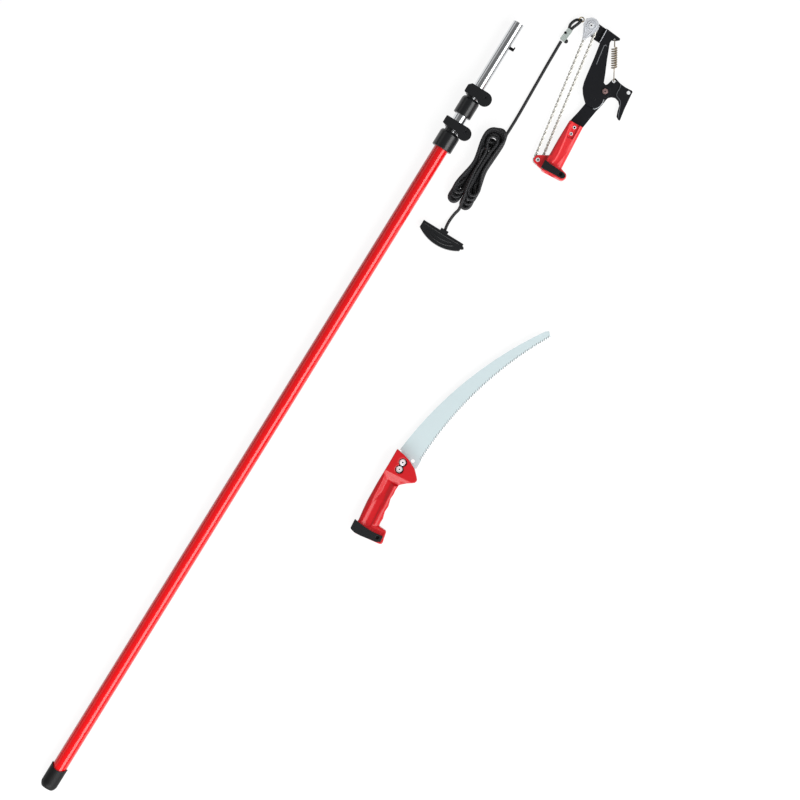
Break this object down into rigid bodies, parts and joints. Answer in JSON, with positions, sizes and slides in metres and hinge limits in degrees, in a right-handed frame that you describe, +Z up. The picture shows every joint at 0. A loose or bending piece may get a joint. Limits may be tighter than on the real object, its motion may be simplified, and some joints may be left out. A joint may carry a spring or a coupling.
{
  "type": "telescoping pole saw",
  "caption": "Telescoping pole with clamp collars and snap button, beside its rope-pulled compound pruner head and its curved saw head, laid flat.",
  "frame": {"origin": "on the ground under the middle of the laid-out kit", "axes": "+Y along the pole towards its tip, +X from the pole towards the heads, +Z up"},
  "size_m": [0.3889, 1.7922, 0.0448],
  "materials": {
    "red_paint": "gloss powder coat",
    "black_rubber": "matt",
    "collar_plastic": "satin moulded nylon",
    "bush_plastic": "natural acetal",
    "tube_aluminium": "drawn and polished",
    "steel_hardware": "zinc plated",
    "nut_copper": "yellow passivated",
    "handle_red": "moulded nylon, satin gloss",
    "black_steel": "matt black powder coat",
    "blade_steel": "ground and chrome flashed",
    "galvanised": "galvanised",
    "chain_nickel": "nickel plated",
    "brass": "polished",
    "clip_grey": "moulded grey plastic",
    "rope_black": "braided polyester"
  },
  "bodies": {
    "base": {"base_tube": "red_paint", "end_cap": "black_rubber", "lower_collar": "collar_plastic", "lower_clamp_bolt": "steel_hardware", "lower_clamp_nut": "steel_hardware"},
    "lower_lever": {"lower_lock_lever": "collar_plastic"},
    "mid_section": {"mid_tube": "tube_aluminium", "mid_tube_bush": "bush_plastic", "upper_collar": "collar_plastic", "upper_clamp_bolt": "steel_hardware", "upper_clamp_nut": "steel_hardware"},
    "upper_lever": {"upper_lock_lever": "collar_plastic"},
    "top_section": {"top_tube": "tube_aluminium", "top_tube_bush": "bush_plastic", "button_spring": "steel_hardware"},
    "button": {"snap_button": "steel_hardware"},
    "pruner_frame": {"pruner_handle": "handle_red", "pruner_latch_pin": "steel_hardware", "handle_rivets": "steel_hardware", "frame_plate": "black_steel", "hook_cheek": "black_steel", "hook_rivet": "steel_hardware", "spring_eyelet": "steel_hardware", "pivot_bolt": "steel_hardware", "pivot_nut": "nut_copper", "return_spring": "chain_nickel", "lower_pulley_rivet": "steel_hardware", "chain": "chain_nickel", "rope_lead": "rope_black", "rope_hank": "rope_black", "rope_tail": "rope_black", "pull_handle": "collar_plastic"},
    "pruner_latch": {"pruner_latch_lever": "collar_plastic"},
    "cutting_arm": {"lever_arm": "black_steel", "pruner_blade": "blade_steel", "blade_rivet": "black_steel", "top_pulley_screw": "steel_hardware", "top_pulley_nut": "steel_hardware"},
    "top_wheel": {"top_pulley": "galvanised"},
    "pulley_carriage": {"pulley_bracket": "galvanised", "chain_anchor": "steel_hardware", "chain_end_ring": "brass", "rope_clip": "clip_grey", "rope_loop": "rope_black", "rope_knot": "rope_black"},
    "lower_wheel": {"lower_pulley": "galvanised"},
    "saw_head": {"saw_blade": "blade_steel", "saw_handle": "handle_red", "saw_screws": "steel_hardware", "saw_nuts": "steel_hardware", "saw_latch_pin": "steel_hardware"},
    "saw_latch": {"saw_latch_lever": "collar_plastic"}
  },
  "joints": [
    {"name": "lower_lever_swing", "type": "hinge", "parent": "base", "child": "lower_lever", "pos_m": [-0.1475, 0.58069, 0.04044], "axis": [0, 0.0028, -1], "range_deg": [0, 100]},
    {"name": "mid_slide", "type": "slide", "parent": "base", "child": "mid_section", "axis": [0, 1, 0.0028], "range_m": [0, 1.25]},
    {"name": "upper_lever_swing", "type": "hinge", "parent": "mid_section", "child": "upper_lever", "pos_m": [-0.1495, 0.65545, 0.03764], "axis": [0, 0.0028, -1], "range_deg": [0, 100]},
    {"name": "top_slide", "type": "slide", "parent": "mid_section", "child": "top_section", "axis": [0, 1, 0.0028], "range_m": [0, 1.25]},
    {"name": "button_press", "type": "slide", "parent": "top_section", "child": "button", "axis": [-1, 0, 0], "range_m": [0, 0.0055], "stiffness_N_per_m": 1200, "springref_m": -0.002, "deforming": ["button_spring"]},
    {"name": "pruner_lift", "type": "slide", "parent": "base", "child": "pruner_frame", "axis": [0, 0, 1], "range_m": [0, 0.3]},
    {"name": "pruner_latch_swing", "type": "hinge", "parent": "pruner_frame", "child": "pruner_latch", "pos_m": [0.04738, 0.60741, 0.03], "axis": [0, 0, 1], "range_deg": [0, 38]},
    {"name": "cut_swing", "type": "hinge", "parent": "pruner_frame", "child": "cutting_arm", "pos_m": [0.03654, 0.78758, 0.012], "axis": [0, 0, 1], "range_deg": [0, 74], "stiffness_Nm_per_rad": 1.5, "springref_deg": -14.32, "deforming": ["return_spring", "chain", "rope_lead"]},
    {"name": "top_wheel_spin", "type": "hinge", "parent": "cutting_arm", "child": "top_wheel", "pos_m": [-0.05148, 0.88074, 0.011], "axis": [0, 0, 1], "range_deg": [0, 1190]},
    {"name": "carriage_swivel", "type": "hinge", "parent": "cutting_arm", "child": "pulley_carriage", "pos_m": [-0.05148, 0.88074, 0.015], "axis": [0, 0, 1], "range_deg": [-52, 0]},
    {"name": "lower_wheel_spin", "type": "hinge", "parent": "pruner_frame", "child": "lower_wheel", "pos_m": [-0.00387, 0.60969, 0.011], "axis": [0, 0, 1], "range_deg": [0, 1175]},
    {"name": "saw_lift", "type": "slide", "parent": "base", "child": "saw_head", "axis": [0, 0, 1], "range_m": [0, 0.3]},
    {"name": "saw_latch_swing", "type": "hinge", "parent": "saw_head", "child": "saw_latch", "pos_m": [0.11377, -0.16041, 0.03], "axis": [0, 0, 1], "range_deg": [0, 35]}
  ],
  "couplings": [
    {"joint": "top_wheel_spin", "follows": "cut_swing", "ratio": 16},
    {"joint": "carriage_swivel", "follows": "cut_swing", "ratio": -0.7},
    {"joint": "lower_wheel_spin", "follows": "cut_swing", "ratio": 15.8}
  ]
}
